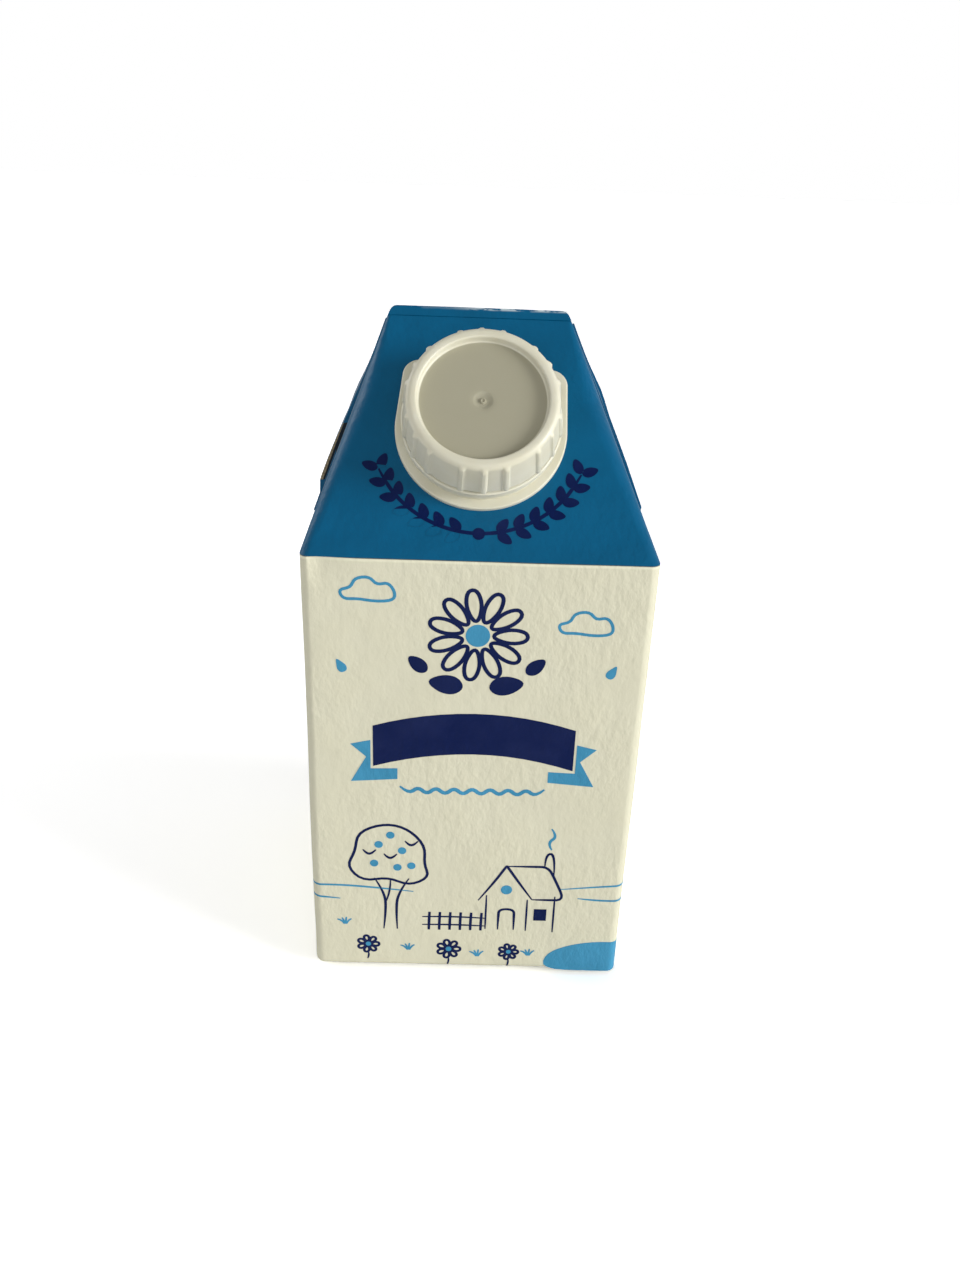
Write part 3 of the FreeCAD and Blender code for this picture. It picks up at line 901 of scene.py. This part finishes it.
def meadow(navy, sky, middle, size):
    """Tree, cottage, fence and flowers on low hills, drawn about a panel's middle."""
    def at(points):
        return [(middle + size * x, 12 + size * (y - 12)) for x, y in points]

    for trunk in (
        [(-18.5, 12), (-18.0, 17), (-18.2, 22), (-20.5, 26)],
        [(-15.5, 12), (-15.8, 17), (-15.4, 22), (-13.0, 26)],
        [(-18.0, 19.5), (-17.0, 22.5), (-17.0, 25.5)],
    ):
        navy.line(at(trunk))
    crown = [(-23, 25), (-26.5, 29), (-24.5, 33), (-24, 38), (-18.5, 40.5), (-13.5, 39.5), (-9.5, 35)]
    crown += [(-9.8, 30), (-8.5, 26.5), (-13, 24), (-17.5, 26.3)]
    navy.line(at(crown), closed=True)
    for x, y in ((-19.5, 35), (-14.5, 33.5), (-20.5, 30), (-15.5, 29), (-17, 37.5), (-12.5, 29.5)):
        sky.shape(at(circle((x, y), 0.95)))
    for x, y in ((-21.5, 33), (-17, 32), (-12.5, 35.5)):
        navy.line(at([(x - 1.4, y + 0.6), (x - 0.6, y - 0.5), (x + 0.5, y - 0.5), (x + 1.4, y + 0.6)]))

    for cottage in (
        [(4, 12.5), (4, 17), (4, 22)],
        [(19, 12), (19, 17), (19, 22)],
        [(2.2, 20.5), (5.5, 25.5), (8, 30), (8.2, 30), (11, 25.5), (14, 21)],
        [(8.2, 30), (14, 30), (17.2, 30), (19, 26), (21.2, 21), (17, 21), (14, 21)],
        [(13.0, 12.2), (13, 17), (13, 21)],
        [(6.8, 12.4), (6.8, 16), (6.9, 18.2), (10.2, 18.2), (10.3, 16), (10.3, 12.4)],
        [(16.3, 30), (16.3, 33.5), (18.4, 33.5), (18.4, 27.8)],
    ):
        navy.line(at(cottage))
    navy.shape(at([(14.6, 15.2), (17.4, 15.2), (17.4, 18.4), (14.6, 18.4)]), smooth=False)
    sky.shape(at(circle((8.3, 23.6), 1.3)))
    sky.line(at([(17.5, 34.5), (16.4, 36.4), (18.6, 38), (17.2, 40)]), 0.7)

    for step in range(6):
        x = -8.5 + step * 2.3
        navy.line(at([(x, 12.0), (x, 14.5), (x + 0.1, 17.0)]), 0.7, taper=0.8)
    navy.line(at([(-10, 15.6), (-4, 15.9), (4, 15.5)]))
    navy.line(at([(-10, 13.4), (-4, 13.6), (4, 13.3)]))

    for x, y, flower in ((-4, 6.5, 2.5), (9.5, 6.0, 2.1), (-22, 7.5, 2.3)):
        daisy(navy, sky, at([(x, y)])[0], flower * size, 7)
        navy.line(at([(x, y - flower), (x + 0.2, y - flower - 1.0), (x - 0.2, y - flower - 2.0)]))
    for x, y in ((-13, 6), (2.5, 4.5), (-27, 13), (14, 5)):
        tuft(sky, at([(x, y)])[0], 1.9 * size)


def ground(sky):
    """Long field lines right round the walls."""
    for start, length, height, rise in (
        (-52, 40, 22.5, 1.5), (-44, 16, 20.2, 0.6), (20, 46, 24.0, 1.8), (24, 14, 21.6, -0.5),
        (72, 42, 22.0, 1.2), (78, 24, 19.8, 0.6), (129, 58, 23.0, -1.2), (160, 22, 20.4, 0.5),
        (-94, 30, 22.8, 0.9),
    ):
        points = [(start + length * s / 5, height + rise * math.sin(math.pi * s / 5)) for s in range(6)]
        sky.line(points, 0.5)


def roof_garland(navy):
    """A leafy garland on the roof, bowed under the closure."""
    centre = (CLOSURE_ACROSS / MM, CLOSURE_UP / MM)
    radius = 21.2
    arc = [math.radians(-156 + 132 * step / 14) for step in range(15)]
    stem = [(centre[0] + radius * math.cos(a), centre[1] + radius * math.sin(a)) for a in arc]
    navy.line(stem, 0.75)
    for step, (root, a) in enumerate(zip(stem, arc)):
        lean = (step > 7) - (step < 7)
        if lean:
            for side in (-1, 1):
                navy.shape(moved(LEAF, root, 3.3, a + math.radians(90 * lean - side * lean * 46)))
    navy.shape(circle(stem[7], 1.3, 8))


def draw_print(settings):
    """All artwork: for each ink, its sheets and the panels they lie on."""
    pen = settings.pen / MM
    navy, sky = InkSheet("walls_navy", pen), InkSheet("walls_sky", pen)
    roof_navy = InkSheet("roof_navy", pen)
    side_middle = SIDE_STEP / MM
    daisy(navy, sky, (0, 85), 9.2, 11, 0.8)
    for side in (-1, 1):
        leaf(navy, (side * 2.2, 73.6), 7.0, 90 - side * 80)
        leaf(navy, (side * 9.6, 76.8), 4.8, 90 - side * 48)
        sky.shape(moved(DROP, (side * 26.5, 77.5), 1.7, side * -0.5))
        cloud_line(sky, (side * 21, 89 - 3 * side), 2.2)
    banner(navy, sky, (0, 59.5), 20.5, 3.4)
    sky.line([(-15 + 30 * s / 16, 49.0 + 0.95 * (-1) ** s) for s in range(17)], 0.9)
    meadow(navy, sky, 0, 1)
    pond(sky, 27.5)

    for middle in (-side_middle, side_middle):
        daisy(navy, sky, (middle + 2, 60), 10.5, 11, 0.8)
        navy.line([(middle + 2, 50), (middle + 3.4, 38), (middle + 1.2, 27), (middle + 1.6, 16)], 0.9)
        leaf(navy, (middle + 2.4, 34), 8.5, 50)
        leaf(navy, (middle + 2.0, 29), 8.5, 140)
        daisy(navy, sky, (middle - 16, 43), 6.6, 9)
        navy.line([(middle - 16, 37), (middle - 15, 29), (middle - 16.4, 15)], 0.7)
        leaf(navy, (middle - 15.6, 26), 5.5, 140)
        daisy(navy, sky, (middle + 18, 38), 5.6, 9)
        navy.line([(middle + 18, 33), (middle + 17.2, 26), (middle + 18.2, 14)], 0.7)
        leaf(navy, (middle + 17.6, 23), 5, 42)
        cloud_line(sky, (middle - 17, 80), 2.6)
        cloud_line(sky, (middle + 18, 72), 2.0)
        for across, up in ((-24, 12), (-8, 10), (9, 12), (24, 10), (-2, 5), (15, 5)):
            tuft(sky, (middle + across, up), 2.0)
    back = 2 * side_middle + 14  # to one side of the lengthwise lap
    banner(navy, sky, (back, 62), 11.0, 1.8)
    daisy(navy, sky, (back, 80), 6.5, 9)
    meadow(navy, sky, back - 2.5, 0.62)
    ground(sky)
    roof_garland(roof_navy)
    return (("navy", [(navy, on_walls), (roof_navy, on_front_roof)]), ("sky", [(sky, on_walls)]))


# ---- stage

CAMERA_TURN = math.radians(1.2879)
CAMERA_DROP = math.radians(26.1154)
CAMERA_ROLL = math.radians(-2.1973)
CAMERA_PLACE = Vector((-3.726, -184.784, 174.757)) * MM  # from the foot of the front wall's middle
CAMERA_LENS = 29.95


def make_camera():
    """A camera that looks down on the front, turned and rolled a little."""
    ahead = Vector((math.sin(CAMERA_TURN) * math.cos(CAMERA_DROP),
                    math.cos(CAMERA_TURN) * math.cos(CAMERA_DROP), -math.sin(CAMERA_DROP)))
    level = Vector((math.cos(CAMERA_TURN), -math.sin(CAMERA_TURN), 0))
    down = ahead.cross(level)
    right = level * math.cos(CAMERA_ROLL) + down * math.sin(CAMERA_ROLL)
    lower = down * math.cos(CAMERA_ROLL) - level * math.sin(CAMERA_ROLL)
    data = bpy.data.cameras.new("camera")
    data.lens = CAMERA_LENS
    data.clip_start = 0.01
    camera = bpy.data.objects.new("camera", data)
    turn = Matrix((right, -lower, -ahead)).transposed().to_4x4()
    camera.matrix_world = Matrix.Translation(Vector((MIDDLE_X, FRONT_Y, 0)) + CAMERA_PLACE) @ turn
    bpy.context.scene.collection.objects.link(camera)
    bpy.context.scene.camera = camera


def place_lamp(data, place, target):
    """A lamp at a place, aimed at a target."""
    lamp = bpy.data.objects.new(data.name, data)
    lamp.location = place
    lamp.rotation_euler = (Vector(target) - Vector(place)).to_track_quat("-Z", "Y").to_euler()
    bpy.context.scene.collection.objects.link(lamp)


def make_lamps(key, front, rim):
    """Light from the right, soft light from the front, and a weak lamp behind the left for sheen."""
    for name, energy, spread, place in (
        ("key_lamp", key, 26, (0.92, -0.34, 0.2)),
        ("front_lamp", front, 60, (-0.1, -0.99, 0.06)),
    ):
        sun = bpy.data.lights.new(name, "SUN")
        sun.energy = energy
        sun.angle = math.radians(spread)
        place_lamp(sun, place, (0, 0, 0))
    card = bpy.data.lights.new("rim_lamp", "AREA")
    card.shape = "DISK"
    card.size = 0.3
    card.energy = rim
    place_lamp(card, (-0.5, 0.25, 0.42), (0, 0, 0.1))


def make_world(fill):
    """Soft light from all round, half as strong overhead; what the camera sees of it is white."""
    world = bpy.data.worlds.new("studio")
    bpy.context.scene.world = world
    world.use_nodes = True
    tree = world.node_tree
    path = add_node(tree, "ShaderNodeLightPath")
    direction = add_node(tree, "ShaderNodeTexCoord").outputs["Generated"]
    around = ramp(tree, split(tree, direction)["Z"], 0.0, 1.0, fill, fill * 0.5)
    strength = ramp(tree, path.outputs["Is Camera Ray"], 0, 1, around, 1.0)
    tree.links.new(strength, tree.nodes["Background"].inputs["Strength"])
    tree.nodes["Background"].inputs["Color"].default_value = (1, 1, 1, 1)


FLOOR_WHITE = 0.88
FLOOR_SEEN = 1.85  # what the camera sees of it, so that it is white around the pack's shadow
FLOOR_GAP = 0.02 * MM  # keeps it out of the plane of the pack's base


def make_floor():
    """A wide white floor just under the pack."""
    bm = bmesh.new()
    place = Matrix.Translation((0, 0, -FLOOR_GAP))
    bmesh.ops.create_grid(bm, x_segments=1, y_segments=1, size=3, matrix=place)
    mesh = bpy.data.meshes.new("studio_floor")
    bm.to_mesh(mesh)
    bm.free()
    floor = bpy.data.objects.new("studio_floor", mesh)
    bpy.context.scene.collection.objects.link(floor)
    white = [FLOOR_WHITE] * 3
    seen = (FLOOR_SEEN, FLOOR_SEEN, FLOOR_SEEN + 0.01, 1)
    material, tree, shader, vector = principled("floor_paper", white, 0.9, 0.0)
    path = add_node(tree, "ShaderNodeLightPath")
    colour = mix_colour(tree, path.outputs["Is Camera Ray"], (*white, 1), seen)
    tree.links.new(colour, shader.inputs["Base Color"])
    mesh.materials.append(material)


# ---- operators

class CARTON_OT_stage(bpy.types.Operator):
    """Camera, lamps, surroundings and floor"""
    bl_idname = "carton.stage"
    bl_label = "Stage"

    def execute(self, context):
        settings = context.scene.carton_stage
        make_camera()
        make_world(settings.fill)
        make_lamps(settings.key, settings.front, settings.rim)
        make_floor()
        context.scene.view_settings.view_transform = "Standard"
        return {"FINISHED"}


class CARTON_OT_board(bpy.types.Operator):
    """Printed board body with its folds, ears and seams"""
    bl_idname = "carton.board"
    bl_label = "Board"

    def execute(self, context):
        board_relief_group()
        board = make_board(context.scene.carton_board)
        if not board.data.polygons:
            raise RuntimeError("the board has no faces")
        return {"FINISHED"}


class CARTON_OT_closure(bpy.types.Operator):
    """Glued-on pour spout and ribbed screw cap"""
    bl_idname = "carton.closure"
    bl_label = "Closure"

    def execute(self, context):
        settings = context.scene.carton_closure
        material = plastic_material(settings)
        make_cap(settings, material)
        make_spout(material)
        return {"FINISHED"}


class CARTON_OT_print(bpy.types.Operator):
    """Meadow print on the walls and garland on the roof"""
    bl_idname = "carton.print"
    bl_label = "Print"

    def execute(self, context):
        settings = context.scene.carton_print
        board = context.scene.carton_board
        for ink, sheets in draw_print(settings):
            bm = bmesh.new()
            for sheet, panel in sheets:
                for mesh in sheet.meshes():
                    lay_ink(bm, mesh, panel, board.pucker, settings.lift)
            bmesh.ops.recalc_face_normals(bm, faces=bm.faces)
            material = ink_material(ink + "_ink", getattr(settings, ink), board)
            finish_piece("print_" + ink, bm, [material], math.radians(60))
        return {"FINISHED"}


class CARTON_PT_panel(bpy.types.Panel):
    """The carton's pieces, in the order they are made"""
    bl_label = "Carton"
    bl_idname = "CARTON_PT_panel"
    bl_space_type = "VIEW_3D"
    bl_region_type = "UI"
    bl_category = "Carton"

    def draw(self, context):
        for operator in OPERATORS:
            self.layout.operator(operator.bl_idname)


SETTINGS = {
    "carton_board": BoardSettings,
    "carton_print": PrintSettings,
    "carton_closure": ClosureSettings,
    "carton_stage": StageSettings,
}
OPERATORS = (CARTON_OT_stage, CARTON_OT_board, CARTON_OT_closure, CARTON_OT_print)
CLASSES = (*SETTINGS.values(), *OPERATORS, CARTON_PT_panel)


def register():
    for cls in CLASSES:
        bpy.utils.register_class(cls)
    for name, group in SETTINGS.items():
        setattr(bpy.types.Scene, name, PointerProperty(type=group))


def unregister():
    for name in SETTINGS:
        delattr(bpy.types.Scene, name)
    for cls in reversed(CLASSES):
        bpy.utils.unregister_class(cls)


def main():
    register()
    bpy.ops.carton.stage()
    bpy.ops.carton.board()
    bpy.ops.carton.closure()
    bpy.ops.carton.print()


if __name__ == "__main__":
    main()
